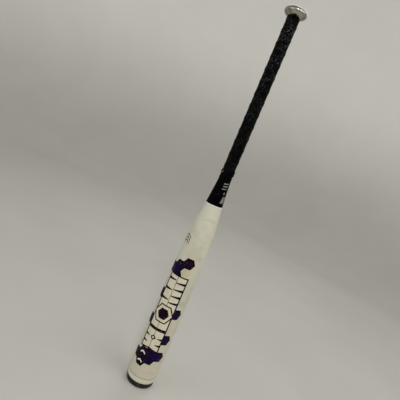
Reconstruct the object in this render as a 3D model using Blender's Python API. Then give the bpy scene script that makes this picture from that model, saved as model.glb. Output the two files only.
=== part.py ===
"""Two-piece baseball bat, 34 inches long with a 2 5/8 inch barrel, standing on its end cap.

Metres. The bat's axis is Z, the flat of the end cap lies at z = 0 and the knob is at the top.
"""

import math

import bmesh
import bpy
import numpy as np

# Driving dimensions
TOTAL_LENGTH = 0.8636
BARREL_RADIUS = 0.03335
HANDLE_RADIUS = 0.0111
KNOB_RADIUS = 0.0235
JOINT_HEIGHT = 0.4416
GRIP_BOTTOM = 0.5105
GAP = 0.0003

# Outside of the bat, from the rolled shoulder up to the knob: height, radius
OUTLINE = (
    (0.026, BARREL_RADIUS),
    (0.100, 0.0330),
    (0.195, 0.03205),
    (0.285, 0.03015),
    (0.332, 0.0287),
    (0.380, 0.0258),
    (0.413, 0.02195),
    (0.444, 0.0184),
    (0.481, 0.0148),
    (0.500, 0.0132),
    (0.520, 0.0119),
    (0.545, 0.0112),
    (0.575, HANDLE_RADIUS),
    (TOTAL_LENGTH, HANDLE_RADIUS),
)

# Barrel shell
BARREL_WALL = 0.0029
SHOULDER_HEIGHT = OUTLINE[0][0]
RIM_RADIUS = 0.0318

# End cap, whose lip fills the barrel's open end
CAP_LIP_HEIGHT = 0.0128
CAP_LIP_RADIUS = 0.0316
CAP_CORNER_RADIUS = 0.0052
CAP_PLUG_RADIUS = 0.0284
CAP_PLUG_TOP = 0.0340
CAP_BEAD_HEIGHT = 0.0255
CAP_BEAD_DEPTH = 0.0010
CAP_WALL = 0.0040
CAP_FLOOR = 0.0050
CAP_GROOVE = (0.0125, 0.0190)
CAP_GROOVE_DEPTH = 0.0015
WEIGHT_RADIUS = 0.0150
WEIGHT_THICKNESS = 0.0055

# Stiffening ring bonded inside the barrel
STIFFENER_BOTTOM = 0.135
STIFFENER_TOP = 0.170
STIFFENER_WALL = 0.0020

# Joint between the barrel's neck and the handle
TRIM_RING_HEIGHT = 0.0024
TRIM_RING_PROUD = 0.00015
SPIGOT_RADIUS = 0.0125
SPIGOT_BOTTOM = 0.3960
SLEEVE_BOTTOM = 0.4130
HANDLE_WALL = 0.0022
TAPER_WALL = 0.0032
HANDLE_TOP = 0.8560

# Plugs inside the handle
FOAM_PLUG = (0.4020, 0.4300)
DAMPER = (0.8000, 0.8400)

# Knob
KNOB_TOP_THICKNESS = 0.0095
KNOB_BOTTOM_THICKNESS = 0.0105
KNOB_TOP_FLAT = 0.0085
KNOB_BOTTOM_FLAT = 0.0060
KNOB_HOLE_RADIUS = 0.0062
KNOB_PLUG_DEPTH = 0.0045

# Grip: an underlay, a tape wound round the handle in a right-handed helix, and a finishing tape
GRIP_TOP = 0.8438
UNDERLAY = (0.5560, 0.8420)
UNDERLAY_THICKNESS = 0.0003
TAPE_THICKNESS = 0.00105
TAPE_LAP_STEP = 0.00065
TAPE_PITCH = 0.0260
TAPE_RIDGE_HEIGHT = 0.7796
TAPE_THIN_FROM = 0.5450
TAPE_THIN_SHARE = 0.7
# One turn's outside, up from its cut edge: share of the pitch, share of the step
TAPE_SECTION = ((0.0, 0.0), (0.60, 0.0), (0.70, 1.0), (0.94, 1.0))
TAPE_INNER_LEVELS = (GRIP_BOTTOM, 0.522, 0.534, 0.545, UNDERLAY[0] - GAP, UNDERLAY[0], GRIP_TOP)
FINISHING_TAPE = (0.4985, 0.5195)
FINISHING_TAPE_THICKNESS = 0.00035

# Facets round the axis
BARREL_SIDES = 48
KNOB_SIDES = 40
HANDLE_SIDES = 32
INNER_SIDES = 24


def clear_scene():
    for obj in list(bpy.data.objects):
        bpy.data.objects.remove(obj, do_unlink=True)


def principled(name, colour, roughness, metallic=0.0):
    material = bpy.data.materials.new(name)
    material.use_nodes = True
    shader = material.node_tree.nodes["Principled BSDF"]
    shader.inputs["Base Color"].default_value = (*colour, 1.0)
    shader.inputs["Roughness"].default_value = roughness
    shader.inputs["Metallic"].default_value = metallic
    return material


def outside(height):
    """Radius of the bat's outside at a height: a smooth curve through OUTLINE that never overshoots it."""
    z = [station[0] for station in OUTLINE]
    r = [station[1] for station in OUTLINE]
    slopes = [(r[i + 1] - r[i]) / (z[i + 1] - z[i]) for i in range(len(z) - 1)]
    tangents = [slopes[0]]
    for before, after in zip(slopes, slopes[1:]):
        product = before * after
        tangents.append(2 * product / (before + after) if product > 0 else 0.0)
    tangents.append(0.0)
    height = min(max(height, z[0]), z[-1])
    i = min(max(int(np.searchsorted(z, height)) - 1, 0), len(z) - 2)
    span = z[i + 1] - z[i]
    t = (height - z[i]) / span
    start = (1 + 2 * t) * (1 - t) ** 2 * r[i] + t * (1 - t) ** 2 * span * tangents[i]
    end = t * t * (3 - 2 * t) * r[i + 1] - t * t * (1 - t) * span * tangents[i + 1]
    return start + end


def along(start, stop, count, offset=0.0):
    """Profile points that keep a set distance from the bat's outside, from one height to another."""
    return [(outside(z) + offset, z) for z in np.linspace(start, stop, count)]


def rounded(centre, radii, start, stop, count):
    """Profile points on an elliptical arc, its angles in degrees from the outward direction."""
    points = []
    for angle in np.radians(np.linspace(start, stop, count)):
        points.append((centre[0] + radii[0] * math.cos(angle), centre[1] + radii[1] * math.sin(angle)))
    return points


def add_object(name, bm, material):
    bmesh.ops.recalc_face_normals(bm, faces=bm.faces)
    mesh = bpy.data.meshes.new(name)
    bm.to_mesh(mesh)
    bm.free()
    mesh.shade_smooth()
    mesh.set_sharp_from_angle(angle=math.radians(35))
    mesh.materials.append(material)
    obj = bpy.data.objects.new(name, mesh)
    bpy.context.scene.collection.objects.link(obj)
    return obj


def turned(name, profile, sides, material):
    """A solid of revolution about Z from a closed profile of (radius, height) points."""
    bm = bmesh.new()
    verts = [bm.verts.new((radius, 0.0, height)) for radius, height in profile]
    edges = [bm.edges.new((a, b)) for a, b in zip(verts, verts[1:] + verts[:1])]
    bmesh.ops.spin(
        bm, geom=verts + edges, cent=(0, 0, 0), axis=(0, 0, 1), angle=2 * math.pi, steps=sides
    )
    bmesh.ops.remove_doubles(bm, verts=bm.verts, dist=1e-6)
    on_axis = [edge for edge in bm.edges if not edge.link_faces]
    bmesh.ops.delete(bm, geom=on_axis, context="EDGES")
    return add_object(name, bm, material)


def tube(name, bottom, top, inner_radius, outer_radius, sides, material):
    profile = [(outer_radius, top), (outer_radius, bottom), (inner_radius, bottom), (inner_radius, top)]
    return turned(name, profile, sides, material)


def barrel_shell():
    neck = JOINT_HEIGHT - TRIM_RING_HEIGHT - GAP
    rim = CAP_LIP_HEIGHT + GAP
    inner_rim = RIM_RADIUS - BARREL_WALL
    shoulder_drop = BARREL_RADIUS - RIM_RADIUS
    outer = along(neck, SHOULDER_HEIGHT, 17)
    shoulder = rounded((RIM_RADIUS, SHOULDER_HEIGHT), (shoulder_drop, SHOULDER_HEIGHT - rim), 0, -90, 4)
    inner = along(SHOULDER_HEIGHT, neck, 9, -BARREL_WALL)
    profile = outer + shoulder[1:] + [(inner_rim, rim)] + inner
    paint = principled("barrel_white", (0.78, 0.76, 0.66), 0.35)
    return turned("barrel_shell", profile, BARREL_SIDES, paint)


def end_cap():
    edge = CAP_LIP_RADIUS - CAP_CORNER_RADIUS
    corner = rounded((edge, CAP_CORNER_RADIUS), (CAP_CORNER_RADIUS, CAP_CORNER_RADIUS), -90, 0, 5)
    bead = rounded((CAP_PLUG_RADIUS, CAP_BEAD_HEIGHT), (CAP_BEAD_DEPTH, 2 * CAP_BEAD_DEPTH), -90, 90, 5)
    groove_in, groove_out = CAP_GROOVE
    profile = [
        (0.0, 0.0),
        (groove_in, 0.0),
        (groove_in + CAP_GROOVE_DEPTH, CAP_GROOVE_DEPTH),
        (groove_out - CAP_GROOVE_DEPTH, CAP_GROOVE_DEPTH),
        (groove_out, 0.0),
        *corner,
        (CAP_LIP_RADIUS, CAP_LIP_HEIGHT),
        (CAP_PLUG_RADIUS, CAP_LIP_HEIGHT),
        *bead,
        (CAP_PLUG_RADIUS, CAP_PLUG_TOP),
        (CAP_PLUG_RADIUS - CAP_WALL, CAP_PLUG_TOP),
        (CAP_PLUG_RADIUS - CAP_WALL, CAP_FLOOR),
        (0.0, CAP_FLOOR),
    ]
    return turned("end_cap", profile, BARREL_SIDES, principled("cap_black", (0.012, 0.012, 0.013), 0.4))


def end_cap_weight():
    bottom = CAP_FLOOR + GAP
    top = bottom + WEIGHT_THICKNESS
    profile = [(0.0, bottom), (WEIGHT_RADIUS, bottom), (WEIGHT_RADIUS, top), (0.0, top)]
    steel = principled("weight_steel", (0.42, 0.42, 0.43), 0.35, 1.0)
    return turned("end_cap_weight", profile, INNER_SIDES, steel)


def barrel_stiffening_ring():
    outer = along(STIFFENER_TOP, STIFFENER_BOTTOM, 3, -BARREL_WALL - GAP)
    inner = along(STIFFENER_BOTTOM, STIFFENER_TOP, 3, -BARREL_WALL - GAP - STIFFENER_WALL)
    carbon = principled("stiffener_carbon", (0.03, 0.03, 0.032), 0.45)
    return turned("barrel_stiffening_ring", outer + inner, BARREL_SIDES, carbon)


def trim_ring():
    bottom = JOINT_HEIGHT - TRIM_RING_HEIGHT
    outer = along(JOINT_HEIGHT, bottom, 3, TRIM_RING_PROUD)
    inner_radius = SPIGOT_RADIUS + GAP
    profile = outer + [(inner_radius, bottom), (inner_radius, JOINT_HEIGHT)]
    ring_white = principled("trim_white", (0.85, 0.85, 0.82), 0.3)
    return turned("trim_ring", profile, BARREL_SIDES, ring_white)


def joint_sleeve():
    top = JOINT_HEIGHT - TRIM_RING_HEIGHT - GAP
    outer = along(top, SLEEVE_BOTTOM, 6, -BARREL_WALL - GAP)
    inner_radius = SPIGOT_RADIUS + GAP
    profile = outer + [(inner_radius, SLEEVE_BOTTOM), (inner_radius, top)]
    rubber = principled("sleeve_rubber", (0.02, 0.02, 0.02), 0.8)
    return turned("joint_sleeve", profile, HANDLE_SIDES, rubber)


def handle_tube():
    shoulder = JOINT_HEIGHT + GAP
    straight = OUTLINE[-2][0]
    bore = HANDLE_RADIUS - HANDLE_WALL
    outer = along(straight, shoulder, 11)
    inner = [(SPIGOT_RADIUS - TAPER_WALL, SPIGOT_BOTTOM), (SPIGOT_RADIUS - TAPER_WALL, shoulder)]
    profile = [
        (HANDLE_RADIUS, HANDLE_TOP),
        *outer,
        (SPIGOT_RADIUS, shoulder),
        (SPIGOT_RADIUS, SPIGOT_BOTTOM),
        *inner,
        (bore, straight),
        (bore, HANDLE_TOP),
    ]
    black = principled("handle_black", (0.010, 0.010, 0.011), 0.35)
    return turned("handle_tube", profile, HANDLE_SIDES, black)


def plug(name, bottom, top, radius, material):
    profile = [(0.0, bottom), (radius, bottom), (radius, top), (0.0, top)]
    return turned(name, profile, INNER_SIDES, material)


def handle_plugs():
    foam = principled("plug_foam", (0.55, 0.52, 0.42), 0.95)
    plug("handle_foam_plug", *FOAM_PLUG, SPIGOT_RADIUS - TAPER_WALL - GAP, foam)
    rubber = principled("damper_rubber", (0.03, 0.03, 0.03), 0.85)
    plug("handle_damper", *DAMPER, HANDLE_RADIUS - HANDLE_WALL - GAP, rubber)


def knob():
    middle = TOTAL_LENGTH - KNOB_TOP_THICKNESS
    socket = HANDLE_RADIUS + GAP
    roof = HANDLE_TOP + GAP
    upper = (KNOB_RADIUS - KNOB_TOP_FLAT, KNOB_TOP_THICKNESS)
    lower = (KNOB_RADIUS - KNOB_BOTTOM_FLAT, KNOB_BOTTOM_THICKNESS)
    lip_angle = math.degrees(math.acos((socket - KNOB_BOTTOM_FLAT) / lower[0]))
    profile = [
        (KNOB_HOLE_RADIUS, roof),
        (KNOB_HOLE_RADIUS, TOTAL_LENGTH),
        *rounded((KNOB_TOP_FLAT, middle), upper, 90, 0, 8),
        *rounded((KNOB_BOTTOM_FLAT, middle), lower, 0, -lip_angle, 8)[1:],
        (socket, roof),
    ]
    aluminium = principled("knob_aluminium", (0.42, 0.41, 0.36), 0.32, 1.0)
    return turned("knob", profile, KNOB_SIDES, aluminium)


def knob_plug():
    radius = KNOB_HOLE_RADIUS - GAP
    rubber = principled("knob_plug_rubber", (0.02, 0.02, 0.02), 0.7)
    return plug("knob_plug", TOTAL_LENGTH - KNOB_PLUG_DEPTH, TOTAL_LENGTH, radius, rubber)


def grip_underlay():
    inner = HANDLE_RADIUS + GAP
    adhesive = principled("underlay_adhesive", (0.60, 0.55, 0.40), 0.8)
    return tube("grip_underlay", *UNDERLAY, inner, inner + UNDERLAY_THICKNESS, INNER_SIDES, adhesive)


def tape_inside(height):
    """The tape lies on the underlay, and below it on the handle's own flare."""
    covered = HANDLE_RADIUS + 2 * GAP + UNDERLAY_THICKNESS
    if height > UNDERLAY[0] - GAP:
        return covered
    return max(outside(height) + GAP, HANDLE_RADIUS + 2 * GAP)


def tape_share(height):
    """How much of its thickness the tape keeps at a height."""
    done = (TAPE_THIN_FROM - height) / (TAPE_THIN_FROM - GRIP_BOTTOM)
    return 1 - (1 - TAPE_THIN_SHARE) * min(max(done, 0.0), 1.0)


def tape_outside(angle, height):
    """Each turn lies flat, then steps out over the lap and ends in a cut edge. The last turns thin out."""
    turn = (height - TAPE_RIDGE_HEIGHT) / TAPE_PITCH - angle / (2 * math.pi)
    shares, steps = zip(*TAPE_SECTION, (1.0, 0.0))
    lift = float(np.interp(turn - math.floor(turn), shares, steps))
    base = max(outside(height) + GAP, HANDLE_RADIUS + 2 * GAP + UNDERLAY_THICKNESS)
    return base + tape_share(height) * (TAPE_THICKNESS + TAPE_LAP_STEP * lift)


def grip_tape():
    """Rows of the outside follow the helix, and stop at the flat ends of the grip."""
    sides = INNER_SIDES
    shares = [share for share, step in TAPE_SECTION]
    turns = math.ceil((GRIP_TOP - GRIP_BOTTOM) / TAPE_PITCH) + 4
    first = math.floor((GRIP_BOTTOM - TAPE_RIDGE_HEIGHT) / TAPE_PITCH) - 2
    angles = [2 * math.pi * side / sides for side in range(sides)]
    bm = bmesh.new()

    def point(radius, angle, height):
        return bm.verts.new((radius * math.cos(angle), radius * math.sin(angle), height))

    outer = []
    for angle in angles:
        column = []
        for turn in range(turns):
            for share in shares:
                free = TAPE_RIDGE_HEIGHT + TAPE_PITCH * (first + turn + share + angle / (2 * math.pi))
                height = min(max(free, GRIP_BOTTOM), GRIP_TOP)
                column.append(point(tape_outside(angle, height), angle, height))
        outer.append(column)
    inner = [[point(tape_inside(z), angle, z) for z in TAPE_INNER_LEVELS] for angle in angles]
    for side in range(sides):
        shift = len(shares) if side == sides - 1 else 0
        here, there = outer[side], outer[(side + 1) % sides]
        for row in range(len(here) - 1 - shift):
            bm.faces.new((here[row], there[row + shift], there[row + shift + 1], here[row + 1]))
        near, far = inner[side], inner[(side + 1) % sides]
        for row in range(len(near) - 1):
            bm.faces.new((near[row], near[row + 1], far[row + 1], far[row]))
        bm.faces.new((here[0], near[0], far[0], there[0]))
        bm.faces.new((here[-1], there[-1], far[-1], near[-1]))
    bmesh.ops.remove_doubles(bm, verts=bm.verts, dist=1e-6)
    bmesh.ops.dissolve_degenerate(bm, edges=bm.edges, dist=1e-7)
    return add_object("grip_tape", bm, principled("grip_black", (0.012, 0.012, 0.013), 0.6))


def grip_finishing_tape():
    """A band half over the end of the grip and half on the handle."""
    bottom, top = FINISHING_TAPE
    step = GRIP_BOTTOM - GAP
    grip_end = TAPE_THIN_SHARE * (TAPE_THICKNESS + TAPE_LAP_STEP)
    over_grip = outside(GRIP_BOTTOM) + GAP + grip_end + GAP
    ledge = step - FINISHING_TAPE_THICKNESS
    on_handle = along(step, bottom, 3, GAP)
    inner = [(over_grip, top), (over_grip, step), *on_handle]
    outer = along(bottom, ledge, 3, GAP + FINISHING_TAPE_THICKNESS)
    outer.append((over_grip + FINISHING_TAPE_THICKNESS, ledge))
    outer.append((over_grip + FINISHING_TAPE_THICKNESS, top))
    tape = principled("finishing_tape_black", (0.015, 0.015, 0.016), 0.45)
    return turned("grip_finishing_tape", inner + outer, HANDLE_SIDES, tape)


def build_bat():
    clear_scene()
    barrel_shell()
    barrel_stiffening_ring()
    end_cap()
    end_cap_weight()
    trim_ring()
    joint_sleeve()
    handle_tube()
    handle_plugs()
    grip_underlay()
    grip_tape()
    grip_finishing_tape()
    knob()
    knob_plug()


build_bat()
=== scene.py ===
"""The looks of the two-piece baseball bat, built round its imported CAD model.

Metres, in the CAD frame: the bat's axis is Z, the flat of the end cap lies at z = 0 and the knob is at the
top. A graphic's place is (arc, height): arc is the distance round the surface from the front line, which
faces -Y, towards the viewer's right.
"""

import math

import bmesh
import bpy
import numpy as np
from mathutils import Matrix, Vector, noise


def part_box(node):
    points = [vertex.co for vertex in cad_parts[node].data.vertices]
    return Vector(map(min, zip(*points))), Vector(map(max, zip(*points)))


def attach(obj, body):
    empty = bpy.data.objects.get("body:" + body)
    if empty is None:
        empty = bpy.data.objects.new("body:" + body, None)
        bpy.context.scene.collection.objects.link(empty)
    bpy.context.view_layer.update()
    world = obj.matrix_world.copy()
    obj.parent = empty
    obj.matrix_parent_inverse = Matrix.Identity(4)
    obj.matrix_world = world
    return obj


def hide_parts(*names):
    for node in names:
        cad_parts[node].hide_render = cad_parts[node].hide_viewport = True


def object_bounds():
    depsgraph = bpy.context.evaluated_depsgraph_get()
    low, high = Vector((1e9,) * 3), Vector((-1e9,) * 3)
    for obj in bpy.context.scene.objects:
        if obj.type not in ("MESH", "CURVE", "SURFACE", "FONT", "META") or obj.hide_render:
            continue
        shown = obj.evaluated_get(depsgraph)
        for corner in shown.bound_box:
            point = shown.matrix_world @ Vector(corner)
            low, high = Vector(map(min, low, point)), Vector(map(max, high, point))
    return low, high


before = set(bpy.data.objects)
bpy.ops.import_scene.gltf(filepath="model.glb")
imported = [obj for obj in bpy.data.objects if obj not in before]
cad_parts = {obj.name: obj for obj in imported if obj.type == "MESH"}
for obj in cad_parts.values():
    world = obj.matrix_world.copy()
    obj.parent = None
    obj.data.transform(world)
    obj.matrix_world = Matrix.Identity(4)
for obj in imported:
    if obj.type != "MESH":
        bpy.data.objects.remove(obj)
CAD_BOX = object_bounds()

# Turned surfaces: sides round the axis, and the longest row, corners and samples along a profile.
# Points closer than TINY are one point, and a point closer than SKIN to an outer wall is on it.
BARREL_SIDES = 192
CAP_SIDES = 216
HANDLE_SIDES = 128
PLUG_SIDES = 96
LONGEST_ROW = 0.0030
CORNER_ANGLE = 30.0
STRAIGHT_RATIO = 2.5
EDGE_ROUND = 0.00035
SURFACE_SAMPLES = 400
SHARP_ANGLE = 38.0
TINY = 1e-6
SKIN = 1e-4

# Barrel's rolled shoulder, above the rim: a crease, painted shade round it, and the bright roll below it
CREASE_HEIGHT = 0.0262
CREASE_WIDTH = 0.0007
CREASE_DEPTH = 0.00016
CREASE_SHADE_BELOW = 0.0243
CREASE_SHADE_ABOVE = (0.0290, 0.0264)
ROLL_HEIGHT = 0.0225
PAINT_TOP = 0.45

# End cap: a groove in its side under the barrel's rim, and ribs in the ring on its flat
CAP_ROW = 0.0008
CAP_SIDE_RADIUS = 0.030
CAP_GROOVE = (0.0094, 0.0126)
CAP_GROOVE_DEPTH = 0.0018
CAP_GROOVE_ROWS = 9
CAP_RIBS = 36
RIB_RING = (0.0140, 0.0175)
RIB_RING_TOP = 0.004
RIB_HEIGHT = 0.0009

# Knob: dings and waves outside this share of its radius
DINGED_SHARE = 0.62
DING_SCALE = 210.0
DING_LEAST = 0.35
DING_DEPTH = 0.00045
WAVE_SCALE = 60.0
WAVE_DEPTH = 0.00006

# Grip: one tape, wound in a right-handed helix, each turn lapping the next
GAP = 0.0003
TAPE_THICKNESS = 0.00105
TAPE_LAP_STEP = 0.00065
TAPE_PITCH = 0.0260
TAPE_RIDGE_HEIGHT = 0.7796
TAPE_THIN_FROM = 0.5450
TAPE_THIN_SHARE = 0.7
TAPE_SLACK = 0.00010
SLACK_SCALE = (2.2, 2.2, 90.0)
# Heights over which the painted glints in the grip's colour grow towards the knob
PAINTED_GLINT_HEIGHTS = (0.50, 0.84)
GRIP_INNER_ROWS = 40
# One turn's outside, up from its cut edge: share of the pitch, share of the lap's step
TAPE_SECTION = (
    (0.0, 0.0),
    (0.30, 0.06),
    (0.55, 0.03),
    (0.61, 0.12),
    (0.67, 0.55),
    (0.72, 0.86),
    (0.78, 0.97),
    (0.86, 1.0),
    (0.925, 0.98),
    (0.940, 0.86),
    (0.949, 0.50),
    (0.955, 0.0),
    (0.964, -0.20),
    (0.980, -0.12),
)
EXTRA_ROWS = {0.1, 0.2, 0.4, 0.48}

# Finishing tape: wound a little askew, with two layers where its end laps, and a frayed edge
BAND_ROW = 0.0006
BAND_EDGE_ROUND = 0.00012
BAND_FADE = 0.001
LAP_START = -2.45
LAP_END = -1.75
LAP_THICKNESS = 0.00022
TAPE_WRINKLE = 0.00008
WRINKLE_SCALE = (3.0, 3.0, 420.0)
BAND_SLANT = 0.0020
FRAY = ((-0.0225, 0.5112), (-0.0165, 0.5111), (-0.0125, 0.5119), (-0.0105, 0.5142), (-0.0098, 0.5168))
FRAY_WIDTH = 0.0009

# Printed films are stacked in layers, which count outwards from the paint. They are cut along a grid, to
# follow the surface, and a slit is left between films of one layer that would share a side.
LAYER = 0.000025
LAYER_STEP = 1.2
BASE_LAYER = 0
CELL_LAYER = 1
OUTLINE_LAYER = 2
ON_CELLS_LAYER = 3
WEDGE_LAYER = 4
RAIL_LAYER = 5
SEAM_LAYER = 6.5
BADGE_LAYER = 8
TOP_LAYER = 9.5
FRAY_LAYER = 10
GRID_ARC = 0.0010
GRID_HEIGHT = 0.0060
SLIT = 0.00002

# Graphics: a lattice of hexagons and, over it, a long banner
CELL_ACROSS = 0.0212
CELL_RADIUS = CELL_ACROSS / math.sqrt(3)
FIRST_CELL = (0.0012, 0.0744)
OUTLINE_WIDTH = 0.0026
HALO_WIDTH = 0.0010
BANNER_ARC = (-0.0302, 0.0126)
BANNER_HEIGHT = (0.0955, 0.2748)
BANNER_PEAK = 0.0055
RAIL_WIDTH = 0.0029
SEAM_WIDTH = 0.0010
BADGE_CENTRE = (-0.0088, 0.1840)
BADGE_RADIUS = 0.0222
BADGE_HOLE = 0.0122
BADGE_LINE = 0.0027
GEM_HEIGHT = 0.1262
GEM_SIZE = 0.0136
GEM_INLAY_SIZE = 0.0058

# Rows of wedges: top height, spacing and number, then each one's length, width at the rail and tip, and rise
RIGHT_WEDGES = (0.2612, 0.0156, 4, (0.0215, 0.0062, 0.0018, -0.0020))
LEFT_WEDGES = (0.2630, 0.0232, 3, (0.0195, 0.0066, 0.0020, 0.0015))
LOWER_WEDGES = (0.1262, 0.0156, 2, (0.0120, 0.0056, 0.0014, 0.0))
HALF_BAR = (0.1466, 0.0, 1, ((BANNER_ARC[1] - BANNER_ARC[0]) / 2, 0.0074, 0.0066, 0.0))

# Rows of chevrons: arc, top height, spacing and number, then each one's half width, stroke and slope
CELL_CHEVRONS = (-0.0175, 0.0880, 0.0210, 2, (0.0065, 0.0036, 0.6))
TAPER_CHEVRONS = (-0.0290, 0.3660, 0.0062, 3, (0.0105, 0.0026, 0.5))

# Marks on the flare: slanted bars, one small patch, and a row of strokes
FLARE_BAR_ARC = (0.0025, 0.0130)
FLARE_BAR_LOW = 0.4785
FLARE_BAR_SPACING = 0.0058
FLARE_BAR_RISE = 0.0018
FLARE_BAR_WIDTHS = (0.0022, 0.0024)
FLARE_BARS = 3
FLARE_PATCH = ((0.0098, 0.4700), (0.0130, 0.4690), (0.0125, 0.4735), (0.0102, 0.4745))
STROKE_ARC = 0.0098
STROKE_SPACING = 0.0021
STROKE_WIDTH = 0.0013
STROKE_LEAN = 0.0020
STROKE_HEIGHT = (0.4502, 0.4650)
STROKES = 5

# Camera
CAMERA_PLACE = (0.0, -0.8392, 0.5684)
CAMERA_TILT = 8.83
CAMERA_PAN = 2.1135
CAMERA_ROLL = 23.13
LENS = 35.973
SENSOR_WIDTH = 36.0

# Stage
FLOOR_RADIUS = 2.1
SWEEP_RADIUS = 1.2
WALL_TOP = 4.5
WALL_GLOW = 0.24
GLOW_HEIGHTS = (0.02, 1.6)
SWEEP_ROWS = 25
STAGE_SIDES = 128


# Materials


class Finish:
    """A Principled material whose colour, roughness and bump come from procedural nodes."""

    def __init__(self, name, **constants):
        self.material = bpy.data.materials.new(name)
        self.material.use_nodes = True
        self.tree = self.material.node_tree
        self.shader = self.tree.nodes["Principled BSDF"]
        self.place = self.add("ShaderNodeTexCoord").outputs["Object"]
        self.normal = None
        for socket, value in constants.items():
            self.shader.inputs[socket.replace("_", " ")].default_value = value

    def add(self, kind, inputs=None, **settings):
        node = self.tree.nodes.new(kind)
        for name, value in settings.items():
            setattr(node, name, value)
        for socket, value in (inputs or {}).items():
            self.feed(node.inputs[socket], value)
        return node

    def feed(self, socket, value):
        if isinstance(value, bpy.types.NodeSocket):
            self.tree.links.new(value, socket)
        else:
            socket.default_value = value

    def stretched(self, scale):
        return self.add("ShaderNodeMapping", {"Vector": self.place, "Scale": scale}).outputs["Vector"]

    def turned_place(self):
        """Coordinates that are the same all the way round the axis, for lathe marks."""
        parts = self.add("ShaderNodeSeparateXYZ", {"Vector": self.place})
        flat = self.add("ShaderNodeCombineXYZ", {"X": parts.outputs["X"], "Y": parts.outputs["Y"]})
        radius = self.add("ShaderNodeVectorMath", {0: flat.outputs["Vector"]}, operation="LENGTH")
        inputs = {"X": radius.outputs["Value"], "Z": parts.outputs["Z"]}
        return self.add("ShaderNodeCombineXYZ", inputs).outputs["Vector"]

    def height(self):
        return self.add("ShaderNodeSeparateXYZ", {"Vector": self.place}).outputs["Z"]

    def noise(self, scale, detail=4.0, distortion=0.0, stretch=None, place=None):
        place = self.stretched(stretch) if stretch else place or self.place
        inputs = {"Vector": place, "Scale": scale, "Detail": detail, "Distortion": distortion}
        return self.add("ShaderNodeTexNoise", inputs).outputs[0]

    def cells(self, scale):
        return self.add("ShaderNodeTexVoronoi", {"Vector": self.place, "Scale": scale}).outputs["Distance"]

    def between(self, value, low, high, start=0.0, stop=1.0):
        """The value's place between low and high, as a number from start to stop."""
        inputs = {"Value": value, "From Min": low, "From Max": high, "To Min": start, "To Max": stop}
        return self.add("ShaderNodeMapRange", inputs, interpolation_type="SMOOTHSTEP").outputs["Result"]

    def times(self, first, second):
        return self.add("ShaderNodeMath", {0: first, 1: second}, operation="MULTIPLY").outputs["Value"]

    def ramp(self, value, stops):
        node = self.add("ShaderNodeValToRGB", {"Fac": value})
        elements = node.color_ramp.elements
        while len(elements) < len(stops):
            elements.new(0.5)
        for element, (position, colour) in zip(elements, stops):
            element.position = position
            element.color = (*colour, 1.0)
        return node.outputs["Color"]

    def mix(self, factor, first, second):
        node = self.add("ShaderNodeMix", data_type="RGBA")
        self.feed(node.inputs[0], factor)
        self.feed(node.inputs[6], first if isinstance(first, bpy.types.NodeSocket) else (*first, 1.0))
        self.feed(node.inputs[7], second if isinstance(second, bpy.types.NodeSocket) else (*second, 1.0))
        return node.outputs[2]

    def bump(self, height, distance, strength=1.0):
        """Adds relief of about this depth, on top of what is already there."""
        inputs = {"Height": height, "Distance": distance, "Strength": strength}
        if self.normal:
            inputs["Normal"] = self.normal
        self.normal = self.add("ShaderNodeBump", inputs).outputs["Normal"]
        self.feed(self.shader.inputs["Normal"], self.normal)

    def colour(self, value):
        self.feed(self.shader.inputs["Base Color"], value)

    def roughness(self, value):
        self.feed(self.shader.inputs["Roughness"], value)


def barrel_paint():
    """Cream gloss paint, dulled and stained by use, tanner low down, brighter on the rolled shoulder, with
    painted shade round the crease above it.
    """
    paint = Finish("barrel_paint", Coat_Weight=0.2, Coat_Roughness=0.3)
    height = paint.height()
    along = paint.between(height, 0.0, PAINT_TOP)
    low_paint = [(0.03, (0.66, 0.61, 0.49)), (0.30, (0.635, 0.60, 0.49))]
    base = paint.ramp(along, [*low_paint, (0.60, (0.61, 0.595, 0.485)), (0.80, (0.67, 0.66, 0.545))])
    roll = paint.between(height, CREASE_HEIGHT, ROLL_HEIGHT, 0.0, 0.9)
    base = paint.mix(roll, base, (0.785, 0.76, 0.625))
    # Painted shade: a dark brown band mixed into the paint round the crease above the roll
    above = paint.between(height, *CREASE_SHADE_ABOVE, 0.0, 0.55)
    darkening = paint.times(paint.between(height, CREASE_SHADE_BELOW, CREASE_HEIGHT), above)
    base = paint.mix(darkening, base, (0.30, 0.24, 0.15))
    stain = paint.between(paint.noise(16.0, 6.0, 0.6), 0.50, 0.72, 0.0, 0.45)
    base = paint.mix(stain, base, (0.50, 0.44, 0.31))
    rub = paint.between(paint.noise(30.0, 5.0, 0.3, stretch=(1.0, 1.0, 2.6)), 0.56, 0.70, 0.0, 0.30)
    base = paint.mix(rub, base, (0.36, 0.34, 0.29))
    specks = paint.between(paint.noise(420.0, 3.0), 0.70, 0.76, 0.0, 0.5)
    base = paint.mix(specks, base, (0.22, 0.18, 0.13))
    scratches = paint.between(paint.noise(55.0, 2.0, 1.2, stretch=(9.0, 9.0, 0.8)), 0.705, 0.73, 0.0, 0.35)
    base = paint.mix(scratches, base, (0.30, 0.28, 0.25))
    paint.colour(base)
    paint.roughness(paint.between(paint.noise(26.0, 5.0), 0.3, 0.7, 0.34, 0.56))
    paint.bump(paint.noise(700.0, 2.0), 0.00002, 0.5)
    paint.bump(paint.noise(45.0, 3.0), 0.00018, 0.4)
    return paint.material


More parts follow.
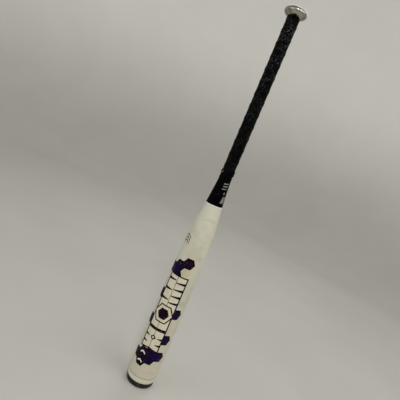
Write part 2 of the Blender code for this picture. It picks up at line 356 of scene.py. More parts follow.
def ink(name, colour, worn=(0.40, 0.36, 0.30), lift=2.2):
    """Printed ink over the paint, rubbed through in small flecks and lighter along fine scratches."""
    film = Finish(name, Specular_IOR_Level=0.07)
    cloud = film.between(film.noise(70.0, 4.0), 0.35, 0.75)
    lighter = tuple(min(1.0, channel * lift + 0.001) for channel in colour)
    base = film.mix(cloud, colour, lighter)
    flecks = film.between(film.noise(520.0, 4.0, 0.4), 0.685, 0.72, 0.0, 0.8)
    base = film.mix(flecks, base, worn)
    scratches = film.between(film.noise(60.0, 2.0, 1.0, stretch=(7.0, 7.0, 0.9)), 0.70, 0.73, 0.0, 0.5)
    base = film.mix(scratches, base, worn)
    film.colour(base)
    film.roughness(film.between(film.noise(180.0, 4.0), 0.3, 0.7, 0.34, 0.52))
    film.bump(film.noise(650.0, 2.0), 0.00002, 0.5)
    return film.material


def banner_cream():
    """The banner's own cream, a little yellower than the paint round it."""
    film = Finish("banner_cream", Coat_Weight=0.2, Coat_Roughness=0.3)
    stain = film.between(film.noise(40.0, 6.0, 0.5), 0.45, 0.72, 0.0, 0.5)
    base = film.mix(stain, (0.76, 0.715, 0.565), (0.57, 0.515, 0.38))
    specks = film.between(film.noise(380.0, 3.0), 0.68, 0.75, 0.0, 0.55)
    film.colour(film.mix(specks, base, (0.24, 0.20, 0.15)))
    film.roughness(film.between(film.noise(90.0, 4.0), 0.3, 0.7, 0.34, 0.54))
    film.bump(film.noise(650.0, 2.0), 0.00002, 0.5)
    return film.material


def handle_paint():
    """Black gloss over the handle, with dust and fine scratches."""
    paint = Finish("handle_paint", Specular_IOR_Level=0.025)
    dust = paint.between(paint.noise(120.0, 6.0, 0.5), 0.55, 0.80, 0.0, 0.5)
    base = paint.mix(dust, (0.0010, 0.0010, 0.0012), (0.009, 0.0088, 0.0085))
    scratches = paint.between(paint.noise(90.0, 2.0, 1.0, stretch=(8.0, 8.0, 1.0)), 0.70, 0.73, 0.0, 0.5)
    paint.colour(paint.mix(scratches, base, (0.08, 0.08, 0.077)))
    paint.roughness(paint.between(paint.noise(80.0, 5.0), 0.3, 0.7, 0.26, 0.48))
    paint.bump(paint.noise(600.0, 2.0), 0.00002, 0.5)
    return paint.material


def grip_leather():
    """Black pebbled grip tape, dusty in patches, with painted glints in its colour that grow towards the
    knob.
    """
    tape = Finish("grip_leather", Specular_IOR_Level=0.035)
    worn = tape.between(tape.noise(60.0, 4.0), 0.35, 0.75)
    base = tape.mix(worn, (0.0008, 0.0008, 0.0008), (0.0022, 0.0021, 0.0021))
    dust = tape.between(tape.noise(240.0, 6.0), 0.58, 0.80, 0.0, 0.5)
    base = tape.mix(dust, base, (0.010, 0.0098, 0.0095))
    # Painted glints: pale blue-grey flecks in the base colour, more of them towards the knob
    glint_rise_to_knob = tape.between(tape.height(), *PAINTED_GLINT_HEIGHTS, 0.35, 1.0)
    painted_glints = tape.between(tape.noise(640.0, 2.0), 0.625, 0.675)
    painted_glints = tape.times(painted_glints, tape.between(tape.noise(75.0, 3.0), 0.40, 0.54))
    tape.colour(tape.mix(tape.times(painted_glints, glint_rise_to_knob), base, (0.19, 0.205, 0.23)))
    tape.roughness(tape.between(tape.noise(70.0, 4.0), 0.3, 0.7, 0.30, 0.55))
    tape.bump(tape.noise(150.0, 3.0), 0.00035, 0.5)
    tape.bump(tape.cells(820.0), 0.00022, 0.7)
    return tape.material


def finishing_vinyl():
    """Thin black tape, pulled tight: glossy, with stretch lines round the handle."""
    tape = Finish("finishing_vinyl", Specular_IOR_Level=0.03)
    dust = tape.between(tape.noise(300.0, 5.0), 0.55, 0.75, 0.0, 0.5)
    tape.colour(tape.mix(dust, (0.0012, 0.0012, 0.0014), (0.012, 0.0118, 0.0115)))
    tape.roughness(tape.between(tape.noise(120.0, 4.0), 0.3, 0.7, 0.30, 0.50))
    tape.bump(tape.noise(55.0, 4.0, 0.5, stretch=(1.0, 1.0, 9.0)), 0.00030, 0.5)
    tape.bump(tape.noise(500.0, 3.0), 0.00005, 0.5)
    return tape.material


def knob_aluminium():
    """Turned aluminium gone dull and brown with handling, with lathe lines and small pits."""
    metal = Finish("knob_aluminium", Metallic=1.0)
    lathe = metal.noise(900.0, 3.0, place=metal.turned_place())
    darkening = metal.between(metal.noise(90.0, 6.0, 0.4), 0.38, 0.68, 0.0, 0.75)
    base = metal.mix(darkening, (0.44, 0.43, 0.375), (0.20, 0.185, 0.145))
    streaks = metal.between(lathe, 0.42, 0.70, 0.0, 0.4)
    base = metal.mix(streaks, base, (0.25, 0.235, 0.195))
    pits = metal.between(metal.noise(600.0, 3.0), 0.68, 0.74, 0.0, 0.8)
    metal.colour(metal.mix(pits, base, (0.10, 0.09, 0.075)))
    metal.roughness(metal.between(metal.noise(140.0, 5.0), 0.3, 0.7, 0.18, 0.32))
    metal.bump(lathe, 0.00004, 0.5)
    metal.bump(metal.noise(260.0, 4.0), 0.00010, 0.4)
    return metal.material


def trim_gloss():
    """White gloss, grimy in patches."""
    trim = Finish("trim_gloss", Coat_Weight=0.3, Coat_Roughness=0.2)
    darkening = trim.between(trim.noise(260.0, 5.0), 0.50, 0.75, 0.0, 0.5)
    trim.colour(trim.mix(darkening, (0.86, 0.86, 0.80), (0.50, 0.47, 0.38)))
    trim.roughness(trim.between(trim.noise(150.0, 4.0), 0.3, 0.7, 0.24, 0.42))
    trim.bump(trim.noise(500.0, 2.0), 0.00003, 0.5)
    return trim.material


def moulded(name, dark, light, roughness, grain=900.0):
    """Moulded rubber or plastic with a fine grain and scuffs."""
    plastic = Finish(name, Specular_IOR_Level=0.35)
    scuffs = plastic.between(plastic.noise(110.0, 6.0, 0.5), 0.45, 0.75)
    plastic.colour(plastic.mix(scuffs, dark, light))
    rough = (roughness - 0.08, roughness + 0.08)
    plastic.roughness(plastic.between(plastic.noise(200.0, 4.0), 0.3, 0.7, *rough))
    plastic.bump(plastic.cells(grain), 0.00006, 0.5)
    plastic.bump(plastic.noise(grain / 3, 3.0), 0.00006, 0.4)
    return plastic.material


def steel():
    """Turned steel, with fine lathe lines."""
    metal = Finish("weight_steel", Metallic=1.0)
    lathe = metal.noise(1200.0, 3.0, place=metal.turned_place())
    metal.colour(metal.mix(metal.between(lathe, 0.35, 0.7), (0.45, 0.45, 0.46), (0.30, 0.30, 0.31)))
    metal.roughness(metal.between(lathe, 0.3, 0.7, 0.28, 0.45))
    metal.bump(lathe, 0.00004, 0.5)
    return metal.material


def carbon():
    """Woven carbon fibre in resin: two crossed families of bands round the ring."""
    weave = Finish("stiffener_carbon", Coat_Weight=0.5, Coat_Roughness=0.15)
    inputs = {"Vector": weave.place, "Scale": 260.0, "Distortion": 0.4}
    warp = weave.add("ShaderNodeTexWave", inputs, bands_direction="Z").outputs["Fac"]
    weft = weave.add("ShaderNodeTexWave", inputs, bands_direction="DIAGONAL").outputs["Fac"]
    tows = weave.times(warp, weft)
    weave.colour(weave.mix(tows, (0.010, 0.010, 0.011), (0.055, 0.055, 0.058)))
    weave.roughness(weave.between(tows, 0.0, 1.0, 0.28, 0.45))
    weave.bump(tows, 0.00008, 0.6)
    return weave.material


def foam():
    """Cream foam with darker pores."""
    block = Finish("plug_foam", Roughness=0.95)
    pores = block.cells(700.0)
    block.colour(block.mix(block.between(pores, 0.1, 0.7), (0.30, 0.27, 0.19), (0.62, 0.58, 0.46)))
    block.bump(pores, 0.00035, 0.8)
    return block.material


def stage_material():
    """Matt and pale, with a soft glow that grows up the wall."""
    pale = Finish("stage_pale", Roughness=0.85)
    cloud = pale.between(pale.noise(3.0, 4.0), 0.3, 0.7)
    pale.colour(pale.mix(cloud, (0.52, 0.51, 0.475), (0.545, 0.535, 0.50)))
    pale.bump(pale.noise(240.0, 3.0), 0.0002, 0.25)
    pale.feed(pale.shader.inputs["Emission Color"], (1.0, 0.975, 0.92, 1.0))
    glow = pale.between(pale.height(), *GLOW_HEIGHTS, 0.0, WALL_GLOW)
    pale.feed(pale.shader.inputs["Emission Strength"], glow)
    return pale.material


# Meshes


def smooth_object(name, bm, material):
    """A smooth-shaded object in the scene, made of this mesh."""
    mesh = bpy.data.meshes.new(name)
    bm.to_mesh(mesh)
    bm.free()
    mesh.shade_smooth()
    mesh.materials.append(material)
    obj = bpy.data.objects.new(name, mesh)
    bpy.context.scene.collection.objects.link(obj)
    return obj


def add_piece(name, bm, material, replaces=()):
    """A piece of the bat, which takes the place of the CAD nodes that it replaces."""
    bmesh.ops.recalc_face_normals(bm, faces=bm.faces)
    obj = smooth_object(name, bm, material)
    obj.data.set_sharp_from_angle(angle=math.radians(SHARP_ANGLE))
    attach(obj, "root")
    if replaces:
        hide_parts(*replaces)


def profile_of(node):
    """The (radius, height) points of a turned CAD node, in order along its outline on the +X side.

    A solid node's flat ends have no point at their centre, so its outline is carried on to the axis.
    """
    bm = bmesh.new()
    bm.from_mesh(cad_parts[node].data)
    bmesh.ops.remove_doubles(bm, verts=bm.verts, dist=TINY)
    beside = {}
    for edge in bm.edges:
        if all(abs(vert.co.y) < TINY and vert.co.x > -TINY for vert in edge.verts):
            first, second = edge.verts
            beside.setdefault(first, []).append(second)
            beside.setdefault(second, []).append(first)
    ends = [vert for vert in beside if len(beside[vert]) == 1]
    chain = [min(ends or beside, key=lambda vert: (vert.co.z, vert.co.x))]
    while True:
        ahead = [vert for vert in beside[chain[-1]] if vert not in chain[-2:] and vert != chain[0]]
        if not ahead:
            break
        chain.append(ahead[0])
    points = [Vector((vert.co.x, vert.co.z)) for vert in chain]
    bm.free()
    if ends:
        points = [Vector((0.0, points[0].y)), *points, Vector((0.0, points[-1].y))]
    return points


def is_corner(before, point, after):
    return (point - before).angle(after - point, 0.0) > math.radians(CORNER_ANGLE)


def smooth_tangent(before, point, after):
    """The direction of a curve through three points: a long straight's own where it meets an arc."""
    back, ahead = point - before, after - point
    if max(back.length, ahead.length) > STRAIGHT_RATIO * min(back.length, ahead.length):
        return max(back, ahead, key=lambda step: step.length).normalized()
    return (back / back.length_squared + ahead / ahead.length_squared).normalized()


def curve_points(start, stop, leaving, arriving, reach_out, reach_in, longest):
    """Points on a cubic from start up to stop, without stop itself."""
    count = max(1, math.ceil((stop - start).length / longest))
    first = start + leaving * reach_out
    second = stop - arriving * reach_in
    points = []
    for t in np.linspace(0, 1, count, endpoint=False):
        u = 1 - t
        points.append(start * u**3 + first * (3 * t * u * u) + second * (3 * t * t * u) + stop * t**3)
    return points


def rounded_corner(before, point, after, radius):
    """Three points that round off a corner."""
    reach = min(radius, (point - before).length / 3, (after - point).length / 3)
    start = point + (before - point).normalized() * reach
    stop = point + (after - point).normalized() * reach
    return [start, start * 0.25 + point * 0.5 + stop * 0.25, stop]


def direction(before, point, after, step):
    """The direction at a point of the curve along this step: the step's own at a corner."""
    return step.normalized() if is_corner(before, point, after) else smooth_tangent(before, point, after)


def finer(points, longest=LONGEST_ROW, edge_round=EDGE_ROUND):
    """A profile with its curves drawn finer and its corners rounded. One that meets the axis stays open."""
    count = len(points)
    closed = points[0].x > TINY

    def neighbour(i):
        """The point at this place: past the end, the profile goes round, or is mirrored in the axis."""
        if closed:
            return points[i % count]
        if 0 <= i < count:
            return points[i]
        inner = points[1] if i < 0 else points[-2]
        return Vector((-inner.x, inner.y))

    fine = []
    for i in range(count):
        before, point, after, beyond = neighbour(i - 1), points[i], neighbour(i + 1), neighbour(i + 2)
        if is_corner(before, point, after):
            fine.extend(rounded_corner(before, point, after, edge_round))
        else:
            fine.append(point)
        if closed or i < count - 1:
            step = after - point
            leaving, arriving = direction(before, point, after, step), direction(point, after, beyond, step)
            reach_out = min(step.length, 2 * (point - before).length) / 3
            reach_in = min(step.length, 2 * (beyond - after).length) / 3
            fine.extend(curve_points(point, after, leaving, arriving, reach_out, reach_in, longest)[1:])
    return [point for i, point in enumerate(fine) if i == 0 or (point - fine[i - 1]).length > TINY]


def with_rows(profile, heights):
    """The profile with a point added on its outer wall at each of these heights."""
    added = list(profile)
    for height in heights:
        best = None
        for i in range(len(added)):
            start, stop = added[i], added[(i + 1) % len(added)]
            if (start.y - height) * (stop.y - height) < 0:
                share = (height - start.y) / (stop.y - start.y)
                point = start + (stop - start) * share
                if best is None or point.x > best[1].x:
                    best = (i, point)
        if best:
            added.insert(best[0] + 1, best[1])
    return added


def spun(profile, sides, relief=None):
    """A profile turned about Z. relief moves each (radius, angle, height) a little."""
    bm = bmesh.new()
    rings = []
    for radius, height in profile:
        ring = []
        for side in range(sides if radius > TINY else 1):
            angle = 2 * math.pi * side / sides
            r, z = relief(radius, angle, height) if relief else (radius, height)
            ring.append(bm.verts.new((r * math.cos(angle), r * math.sin(angle), z)))
        rings.append(ring)
    following = rings[1:] + (rings[:1] if profile[0].x > TINY else [])
    for ring, after in zip(rings, following):
        for side in range(sides):
            corners = [ring[side % len(ring)], ring[(side + 1) % len(ring)]]
            corners += [after[(side + 1) % len(after)], after[side % len(after)]]
            bm.faces.new(list(dict.fromkeys(corners)))
    return bm


def outer_radius(profile):
    """A function from height to the profile's largest radius there."""
    heights = np.array([point.y for point in profile])
    inset = SKIN / 10
    levels = np.linspace(heights.min() + inset, heights.max() - inset, SURFACE_SAMPLES)
    radii = []
    for level in levels:
        crossings = []
        for start, stop in zip(profile, profile[1:] + profile[:1]):
            if (start.y - level) * (stop.y - level) <= 0 and start.y != stop.y:
                share = (level - start.y) / (stop.y - start.y)
                crossings.append(start.x + share * (stop.x - start.x))
        radii.append(max(crossings))
    return lambda height: float(np.interp(height, levels, radii))


def noise_round(angle, height, scale):
    """Smooth noise on a tube, from -1 to 1, the same on each run."""
    place = (math.cos(angle), math.sin(angle), height)
    return noise.noise(Vector([axis_scale * axis for axis_scale, axis in zip(scale, place)]))


# Turned pieces


def barrel(profile):
    """The barrel, with a crease round it above the rolled shoulder."""

    def relief(radius, angle, height):
        crease = math.exp(-(((height - CREASE_HEIGHT) / CREASE_WIDTH) ** 2))
        outside = radius > BARREL_SURFACE(height) - SKIN
        return radius - CREASE_DEPTH * crease * outside, height

    profile = with_rows(profile, [CREASE_HEIGHT + CREASE_WIDTH * k / 2 for k in range(-4, 5)])
    add_piece("barrel", spun(profile, BARREL_SIDES, relief), barrel_paint(), ["barrel_shell"])


def end_cap():
    """The cap, with a groove in its side and ribs in the ring on its flat."""
    bottom, top = CAP_GROOVE
    profile = finer(profile_of("end_cap"), longest=CAP_ROW)
    profile = with_rows(profile, np.linspace(bottom - 0.0002, top + 0.0001, CAP_GROOVE_ROWS))
    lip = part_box("barrel_shell")[0].z - GAP
    middle, half = (bottom + top) / 2, (top - bottom) / 2

    def relief(radius, angle, height):
        if radius > CAP_SIDE_RADIUS and height < lip + SKIN:
            depth = 1 - min(1.0, abs(height - middle) / half) ** 4
            return radius - CAP_GROOVE_DEPTH * depth, height
        if RIB_RING[0] < radius < RIB_RING[1] and height < RIB_RING_TOP:
            rib = max(0.0, math.cos(CAP_RIBS * angle)) ** 2
            return radius, height - RIB_HEIGHT * rib
        return radius, height

    rubber = moulded("cap_rubber", (0.006, 0.006, 0.0064), (0.026, 0.026, 0.0245), 0.38)
    add_piece("end_cap_moulding", spun(profile, CAP_SIDES, relief), rubber, ["end_cap"])


def handle(profile):
    add_piece("handle", spun(profile, HANDLE_SIDES), handle_paint(), ["handle_tube"])


def trim_band():
    profile = finer(profile_of("trim_ring"), longest=0.0006, edge_round=0.0003)
    add_piece("trim_band", spun(profile, BARREL_SIDES), trim_gloss(), ["trim_ring"])


def knob():
    """The knob, with small dings from use round its rim, and the plug in its end."""
    dinged = DINGED_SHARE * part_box("knob")[1].x

    def relief(radius, angle, height):
        if radius < dinged:
            return radius, height
        place = Vector((radius * math.cos(angle), radius * math.sin(angle), height))
        ding = DING_DEPTH * max(0.0, noise.noise(place * DING_SCALE) - DING_LEAST)
        return radius - ding - WAVE_DEPTH * noise.noise(place * WAVE_SCALE), height

    profile = finer(profile_of("knob"), longest=0.0009)
    add_piece("knob_turned", spun(profile, BARREL_SIDES, relief), knob_aluminium(), ["knob"])
    plug = finer(profile_of("knob_plug"), longest=0.0010, edge_round=0.0005)
    rubber = moulded("plug_rubber", (0.010, 0.010, 0.010), (0.035, 0.034, 0.032), 0.6)
    add_piece("knob_stopper", spun(plug, PLUG_SIDES), rubber, ["knob_plug"])


# Grip


def grip_base(height):
    """Where the inside of the grip lies: on the underlay, and lower down on the handle's flare."""
    return max(HANDLE_SURFACE(height), UNDERLAY_RADIUS) + GAP


def tape_share(height):
    """How much of its thickness the tape keeps towards the grip's lower end."""
    done = (TAPE_THIN_FROM - height) / (TAPE_THIN_FROM - GRIP_BOTTOM)
    return 1 - (1 - TAPE_THIN_SHARE) * min(max(done, 0.0), 1.0)


def tape_surface(angle, height):
    """Radius of the wound tape: each turn slopes out to its cut edge, with a fine seam beside it."""
    turn = (height - TAPE_RIDGE_HEIGHT) / TAPE_PITCH - angle / (2 * math.pi)
    share = turn - math.floor(turn)
    shares, lifts = zip(*TAPE_SECTION, (1.0, 0.0))
    lift = float(np.interp(share, shares, lifts))
    slack = TAPE_SLACK * noise_round(angle, height, SLACK_SCALE)
    return grip_base(height) + tape_share(height) * (TAPE_THICKNESS + TAPE_LAP_STEP * lift) + slack


def grip():
    """Rows follow the helix and stop at the flat ends of the grip."""
    shares = sorted({share for share, lift in TAPE_SECTION} | EXTRA_ROWS)
    first = math.floor((GRIP_BOTTOM - TAPE_RIDGE_HEIGHT) / TAPE_PITCH) - 2
    turns = math.ceil((GRIP_TOP - GRIP_BOTTOM) / TAPE_PITCH) + 4
    bm = bmesh.new()

    def point(radius, angle, height):
        return bm.verts.new((radius * math.cos(angle), radius * math.sin(angle), height))

    angles = [2 * math.pi * side / HANDLE_SIDES for side in range(HANDLE_SIDES)]
    levels = np.linspace(GRIP_BOTTOM, GRIP_TOP, GRIP_INNER_ROWS)
    outer = []
    for angle in angles:
        column = []
        for turn in range(turns):
            for share in shares:
                free = TAPE_RIDGE_HEIGHT + TAPE_PITCH * (first + turn + share + angle / (2 * math.pi))
                height = min(max(free, GRIP_BOTTOM), GRIP_TOP)
                column.append(point(tape_surface(angle, height), angle, height))
        outer.append(column)
    inner = [[point(grip_base(height), angle, height) for height in levels] for angle in angles]
    for side in range(HANDLE_SIDES):
        shift = len(shares) if side == HANDLE_SIDES - 1 else 0
        here, there = outer[side], outer[(side + 1) % HANDLE_SIDES]
        for row in range(len(here) - 1 - shift):
            bm.faces.new((here[row], there[row + shift], there[row + shift + 1], here[row + 1]))
        near, far = inner[side], inner[(side + 1) % HANDLE_SIDES]
        for row in range(len(near) - 1):
            bm.faces.new((near[row], near[row + 1], far[row + 1], far[row]))
        bm.faces.new((here[0], near[0], far[0], there[0]))
        bm.faces.new((here[-1], there[-1], far[-1], near[-1]))
    bmesh.ops.remove_doubles(bm, verts=bm.verts, dist=TINY)
    bmesh.ops.dissolve_degenerate(bm, edges=bm.edges, dist=TINY / 10)
    add_piece("grip", bm, grip_leather(), ["grip_tape"])


def finishing_band(profile):
    """The band over the grip's lower end, its outer end lapped over the first layer, and its frayed edge."""
    low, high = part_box("grip_finishing_tape")

    def relief(radius, angle, height):
        outside = radius > BAND_SURFACE(height) - SKIN
        turn = (angle + math.pi) % (2 * math.pi) - math.pi
        lapped = LAP_START < turn < LAP_END
        fade = min(1.0, (height - low.z) / BAND_FADE, (high.z - height) / BAND_FADE)
        wrinkle = noise_round(angle, height, WRINKLE_SCALE)
        over_grip = min(1.0, max(0.0, (height - GRIP_BOTTOM) / (high.z - GRIP_BOTTOM)))
        shifted = height + BAND_SLANT * over_grip * math.cos(angle)
        return radius + outside * fade * (LAP_THICKNESS * lapped + TAPE_WRINKLE * wrinkle), shifted

    vinyl = finishing_vinyl()
    wound = spun(profile, BARREL_SIDES, relief)
    add_piece("finishing_band", wound, vinyl, ["grip_finishing_tape"])
    threads = ink("frayed_threads", (0.30, 0.295, 0.285), worn=(0.05, 0.05, 0.05))
    pieces = []
    for start, stop in zip(FRAY, FRAY[1:]):
        pieces.append([start, stop, (stop[0], stop[1] + FRAY_WIDTH), (start[0], start[1] + FRAY_WIDTH)])
    printed("finishing_band_fray", pieces, FRAY_LAYER, threads, BAND_SURFACE)


# Graphics


def mapped(surface, arc, height, lift):
    """The point over a surface at an arc from the front line and a height."""
    radius = surface(height)
    angle = arc / radius
    return Vector(((radius + lift) * math.sin(angle), -(radius + lift) * math.cos(angle), height))


def printed(name, polygons, layer, material, surface=None):
    """A thin closed film over the surface, cut from flat convex polygons of (arc, height)."""
    flat = bmesh.new()
    for polygon in polygons:
        flat.faces.new([flat.verts.new((arc, height, 0.0)) for arc, height in polygon])
    bmesh.ops.remove_doubles(flat, verts=flat.verts, dist=2e-6)
    places = [vert.co.copy() for vert in flat.verts]
    for normal, step in ((Vector((1, 0, 0)), GRID_ARC), (Vector((0, 1, 0)), GRID_HEIGHT)):
        start = math.floor(min(place.dot(normal) for place in places) / step)
        stop = math.ceil(max(place.dot(normal) for place in places) / step)
        for k in range(start, stop + 1):
            geometry = flat.verts[:] + flat.edges[:] + flat.faces[:]
            cut = normal * (k * step)
            bmesh.ops.bisect_plane(flat, geom=geometry, dist=1e-7, plane_co=cut, plane_no=normal)
    surface = surface or BARREL_SURFACE
    low, high = LAYER * (0.5 + LAYER_STEP * layer), LAYER * (1.5 + LAYER_STEP * layer)
    bm = bmesh.new()
    under = {vert: bm.verts.new(mapped(surface, vert.co.x, vert.co.y, low)) for vert in flat.verts}
    over = {vert: bm.verts.new(mapped(surface, vert.co.x, vert.co.y, high)) for vert in flat.verts}
    for face in flat.faces:
        bm.faces.new([over[vert] for vert in face.verts])
        bm.faces.new([under[vert] for vert in reversed(face.verts)])
    for edge in flat.edges:
        if len(edge.link_faces) == 1:
            first, second = edge.verts
            bm.faces.new((over[first], over[second], under[second], under[first]))
    flat.free()
    add_piece(name, bm, material)


def cell_centre(column, row):
    """Cells in odd columns sit half a cell higher."""
    raised = row + 0.5 * (column % 2)
    return FIRST_CELL[0] + 1.5 * CELL_RADIUS * column, FIRST_CELL[1] + CELL_ACROSS * raised


def hexagon(centre, radius):
    """Corners of a hexagon whose top and bottom are level."""
    angles = [math.pi * k / 3 for k in range(6)]
    return [(centre[0] + radius * math.cos(a), centre[1] + radius * math.sin(a)) for a in angles]


def diamond(centre, size):
    arc, height = centre
    half = size / 2
    return [(arc + half, height), (arc, height + half), (arc - half, height), (arc, height - half)]


def perimeters(cells):
    """Closed loops round clusters of cells, without the sides that two cells share."""
    onward = {}
    for cell in cells:
        ring = [(round(arc, 5), round(height, 5)) for arc, height in hexagon(cell_centre(*cell), CELL_RADIUS)]
        for start, stop in zip(ring, ring[1:] + ring[:1]):
            onward[start, stop] = True
    onward = {start: stop for start, stop in onward if (stop, start) not in onward}
    loops = []
    while onward:
        start = min(onward)
        loop = [start]
        while onward[loop[-1]] != start:
            loop.append(onward[loop[-1]])
        for point in loop:
            del onward[point]
        loops.append(loop)
    return loops


def band(loop, inside, outside):
    """Four-sided pieces between two loops, each a set distance outwards from a counter-clockwise loop."""
    offsets = []
    for i, point in enumerate(loop):
        before, here, after = Vector(loop[i - 1]), Vector(point), Vector(loop[(i + 1) % len(loop)])
        first, second = (here - before).normalized(), (after - here).normalized()
        out_first, out_second = Vector((first.y, -first.x)), Vector((second.y, -second.x))
        mitre = (out_first + out_second) / (1 + out_first.dot(out_second))
        offsets.append((here + mitre * inside, here + mitre * outside))
    pieces = []
    for i, (near, far) in enumerate(offsets):
        next_near, next_far = offsets[(i + 1) % len(offsets)]
        pieces.append([tuple(near), tuple(far), tuple(next_far), tuple(next_near)])
    return pieces


def wedges(side, row):
    """Wedges that point into the banner from its left (-1) or right (1) rail."""
    top, spacing, count, (length, base, tip, rise) = row
    rail = BANNER_ARC[0] if side < 0 else BANNER_ARC[1]
    end = rail - side * length
    pieces = []
    for k in range(count):
        height = top - spacing * k
        piece = [(rail, height - base / 2), (end, height + rise - tip / 2)]
        piece += [(end, height + rise + tip / 2), (rail, height + base / 2)]
        pieces.append(piece if side > 0 else piece[::-1])
    return pieces


def chevrons(row):
    """Pairs of strokes that meet in an upward point, one pair under the other."""
    arc, top, spacing, count, (half_width, stroke, slope) = row
    end = arc + half_width
    pieces = []
    for k in range(count):
        height = top - spacing * k
        low = height - half_width * slope
        right = [(arc, height), (end, low), (end, low - stroke), (arc, height - stroke)]
        pieces += [right, [(2 * arc - a, h) for a, h in reversed(right)]]
    return pieces


CELLS = {
    "plum": [(0, 11), (-1, 0), (-2, 7), (-3, 10), (5, 0), (4, 10)],
    "dark_plum": [(-1, -1), (-2, 0), (-2, 4), (6, 0), (5, 10)],
    "indigo": [(-1, 10), (0, 0), (0, 1), (5, 1), (-3, 9)],
    "navy": [(-1, 9), (-2, 10), (1, 0), (1, 5), (1, 2), (4, 1), (5, 9)],
}
FADED_CELL = (0, 10)
INKS = {
    "plum": (0.0075, 0.0004, 0.0062),
    "dark_plum": (0.0050, 0.0005, 0.0040),
    "indigo": (0.0068, 0.0008, 0.0210),
    "navy": (0.0058, 0.0010, 0.0290),
}


def lattice():
    """Clusters of dark cells with a black outline and a pale halo, and one faded cell."""
    everything = [cell for cells in CELLS.values() for cell in cells]
    loops = perimeters(everything)
    half = OUTLINE_WIDTH / 2
    halo = [piece for loop in loops for piece in band(loop, half, half + HALO_WIDTH)]
    line = [piece for loop in loops for piece in band(loop, -half, half)]
    printed("cell_halo", halo, BASE_LAYER, banner_cream())
    for name, cells in CELLS.items():
        fills = [hexagon(cell_centre(*cell), CELL_RADIUS - SLIT) for cell in cells]
        printed("cells_" + name, fills, CELL_LAYER, ink("ink_" + name, INKS[name]))
    printed("cell_outline", line, OUTLINE_LAYER, INK_BLACK)
    faded = ink("ink_faded", (0.56, 0.535, 0.352), worn=(0.42, 0.39, 0.27), lift=1.1)
    fill = hexagon(cell_centre(*FADED_CELL), CELL_RADIUS - OUTLINE_WIDTH)
    printed("cell_faded", [fill], CELL_LAYER, faded)


def banner():
    """A long panel with a peaked lower end, rails, evenly spaced wedges, one heavy bar and a diamond."""
    left, right = BANNER_ARC
    low, high = BANNER_HEIGHT
    centre = (left + right) / 2
    peak = (centre, low + BANNER_PEAK)
    left_half = [(left, low), peak, (centre, high), (left, high)]
    right_half = [peak, (right, low), (right, high), (centre, high)]
    printed("banner_panel", [left_half, right_half], ON_CELLS_LAYER, banner_cream())
    edge = [(left, low), peak, (right, low), (right, high), (left, high)]
    printed("banner_rails", band(edge, -RAIL_WIDTH / 2, RAIL_WIDTH / 2), RAIL_LAYER, INK_BLACK)
    pieces = wedges(1, RIGHT_WEDGES) + wedges(-1, LEFT_WEDGES)
    for row in (LOWER_WEDGES, HALF_BAR):
        pieces += wedges(-1, row) + wedges(1, row)
    printed("banner_wedges", pieces, WEDGE_LAYER, INK_BLACK)
    seam = [(centre - SEAM_WIDTH / 2, peak[1]), (centre + SEAM_WIDTH / 2, peak[1])]
    seam += [(centre + SEAM_WIDTH / 2, high), (centre - SEAM_WIDTH / 2, high)]
    printed("banner_seam", [seam], SEAM_LAYER, INK_BROWN)
    gem = (centre, GEM_HEIGHT)
    printed("banner_gem", [diamond(gem, GEM_SIZE)], BADGE_LAYER, INK_BLACK)
    printed("banner_gem_inlay", [diamond(gem, GEM_INLAY_SIZE)], TOP_LAYER, banner_cream())


def badge():
    """A six-sided ring with a plum core, outlined in black."""
    rim, hole = hexagon(BADGE_CENTRE, BADGE_RADIUS), hexagon(BADGE_CENTRE, BADGE_HOLE)
    half = BADGE_LINE / 2
    ring = band(hole, 0.0, (BADGE_RADIUS - BADGE_HOLE) * math.sqrt(3) / 2)
    printed("badge_ring", ring, BADGE_LAYER, banner_cream())
    core = hexagon(BADGE_CENTRE, BADGE_HOLE - SLIT)
    printed("badge_core", [core], BADGE_LAYER, ink("ink_badge", INKS["plum"]))
    printed("badge_outline", band(rim, -half, half) + band(hole, -half, half), TOP_LAYER, INK_BLACK)


def small_marks():
    """White chevrons in the lower cluster, and a brown stack of them on the taper."""
    white = ink("ink_white", (0.90, 0.86, 0.87), worn=(0.2, 0.12, 0.2))
    printed("cell_chevrons", chevrons(CELL_CHEVRONS), ON_CELLS_LAYER, white)
    printed("taper_chevrons", chevrons(TAPER_CHEVRONS), BASE_LAYER, INK_BROWN)


def flare_marks():
    """Grey slanted bars, a small patch and a row of leaning strokes on the handle's flare."""
    grey = ink("ink_grey", (0.20, 0.20, 0.195), worn=(0.03, 0.03, 0.03))
    left, right = FLARE_BAR_ARC
    left_width, right_width = FLARE_BAR_WIDTHS
    pieces = []
    for k in range(FLARE_BARS):
        low = FLARE_BAR_LOW + FLARE_BAR_SPACING * k
        raised = low + FLARE_BAR_RISE
        pieces.append([(left, low), (right, raised), (right, raised + right_width), (left, low + left_width)])
    pieces.append(FLARE_PATCH)
    low, high = STROKE_HEIGHT
    for k in range(STROKES):
        arc = STROKE_ARC + STROKE_SPACING * k
        foot = [(arc, low), (arc + STROKE_WIDTH, low)]
        pieces.append(foot + [(arc + STROKE_LEAN + STROKE_WIDTH, high), (arc + STROKE_LEAN, high)])
    printed("flare_bars", pieces, BASE_LAYER, grey, HANDLE_SURFACE)


# Inner CAD nodes


def dress_inner_nodes():
    """Materials for the inner pieces, whose meshes are the CAD's own."""
    rubber = moulded("sleeve_rubber", (0.012, 0.012, 0.012), (0.035, 0.034, 0.033), 0.75)
    finishes = {
        "barrel_stiffening_ring": carbon(),
        "end_cap_weight": steel(),
        "joint_sleeve": rubber,
        "handle_damper": rubber,
        "handle_foam_plug": foam(),
        "grip_underlay": moulded("underlay_fabric", (0.42, 0.37, 0.26), (0.62, 0.57, 0.43), 0.85, 1500.0),
    }
    for node, material in finishes.items():
        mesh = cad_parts[node].data
        mesh.materials.clear()
        mesh.materials.append(material)


# Stage, lights and camera


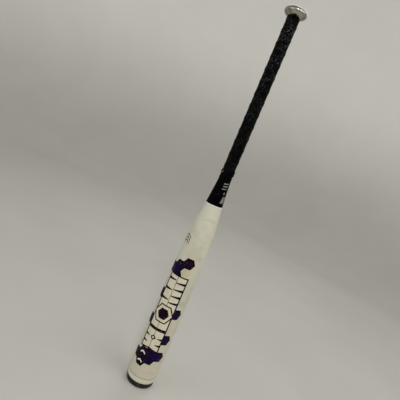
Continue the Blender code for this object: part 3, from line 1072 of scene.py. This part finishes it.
def stage():
    """A pale floor that sweeps up into a round wall."""
    profile = [Vector((0.0, 0.0)), Vector((FLOOR_RADIUS / 2, 0.0))]
    for bend in np.radians(np.linspace(-90, 0, SWEEP_ROWS)):
        radius = FLOOR_RADIUS + SWEEP_RADIUS * math.cos(bend)
        profile.append(Vector((radius, SWEEP_RADIUS * (1 + math.sin(bend)))))
    profile.append(Vector((FLOOR_RADIUS + SWEEP_RADIUS, WALL_TOP)))
    bm = spun(profile, STAGE_SIDES)
    bmesh.ops.reverse_faces(bm, faces=bm.faces)
    obj = smooth_object("stage", bm, stage_material())


def area_light(name, place, target, size, power, colour):
    light = bpy.data.lights.new(name, "AREA")
    light.shape = "DISK"
    light.size = size
    light.energy = power
    light.color = colour
    obj = bpy.data.objects.new(name, light)
    obj.location = place
    obj.rotation_mode = "QUATERNION"
    obj.rotation_quaternion = (Vector(target) - Vector(place)).to_track_quat("-Z", "Y")
    obj.visible_camera = False
    bpy.context.scene.collection.objects.link(obj)


def lights():
    middle = (CAD_BOX[0] + CAD_BOX[1]) / 2
    area_light("key", (1.35, -0.75, 2.10), middle, 2.0, 17.0, (1.0, 0.985, 0.955))
    area_light("lamp", (0.10, -1.30, 2.15), middle, 0.20, 12.0, (1.0, 0.98, 0.94))
    area_light("fill", (-1.6, -1.3, 1.2), middle, 1.6, 6.5, (0.95, 0.975, 1.0))
    area_light("back", (0.3, 1.7, 2.0), middle, 1.4, 9.0, (1.0, 0.99, 0.97))
    world = bpy.data.worlds.new("soft_room")
    world.use_nodes = True
    background = world.node_tree.nodes["Background"]
    background.inputs["Color"].default_value = (0.95, 0.96, 1.0, 1.0)
    background.inputs["Strength"].default_value = 0.27
    bpy.context.scene.world = world
    bpy.context.scene.view_settings.view_transform = "Standard"


def camera():
    """Tilted down at the bat, turned a little to its left, and rolled so that the bat leans to the right."""
    tilt, pan, roll = (math.radians(angle) for angle in (CAMERA_TILT, CAMERA_PAN, CAMERA_ROLL))
    ahead = Vector((0, math.cos(tilt), -math.sin(tilt)))
    downward = Vector((0, -math.sin(tilt), -math.cos(tilt)))
    side = Vector((1, 0, 0))
    look = ahead * math.cos(pan) - side * math.sin(pan)
    across = ahead * math.sin(pan) + side * math.cos(pan)
    right = across * math.cos(roll) - downward * math.sin(roll)
    up = -across * math.sin(roll) - downward * math.cos(roll)
    lens = bpy.data.cameras.new("camera")
    lens.lens = LENS
    lens.sensor_width = SENSOR_WIDTH
    obj = bpy.data.objects.new("camera", lens)
    obj.matrix_world = Matrix.Translation(CAMERA_PLACE) @ Matrix((right, up, -look)).transposed().to_4x4()
    bpy.context.scene.collection.objects.link(obj)
    bpy.context.scene.camera = obj


# Read from the frame
BARREL_PROFILE = finer(profile_of("barrel_shell"))
HANDLE_PROFILE = finer(profile_of("handle_tube"))
BAND_PROFILE = finer(profile_of("grip_finishing_tape"), longest=BAND_ROW, edge_round=BAND_EDGE_ROUND)
BARREL_SURFACE = outer_radius(BARREL_PROFILE)
HANDLE_SURFACE = outer_radius(HANDLE_PROFILE)
BAND_SURFACE = outer_radius(BAND_PROFILE)
GRIP_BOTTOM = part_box("grip_tape")[0].z
GRIP_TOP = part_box("grip_tape")[1].z
UNDERLAY_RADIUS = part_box("grip_underlay")[1].x

# Inks that several graphics share
INK_BLACK = ink("ink_black", (0.003, 0.0028, 0.003))
INK_BROWN = ink("ink_brown", (0.085, 0.036, 0.015))

barrel(BARREL_PROFILE)
end_cap()
trim_band()
handle(HANDLE_PROFILE)
grip()
finishing_band(BAND_PROFILE)
knob()
lattice()
banner()
badge()
small_marks()
flare_marks()
dress_inner_nodes()
stage()
lights()
camera()
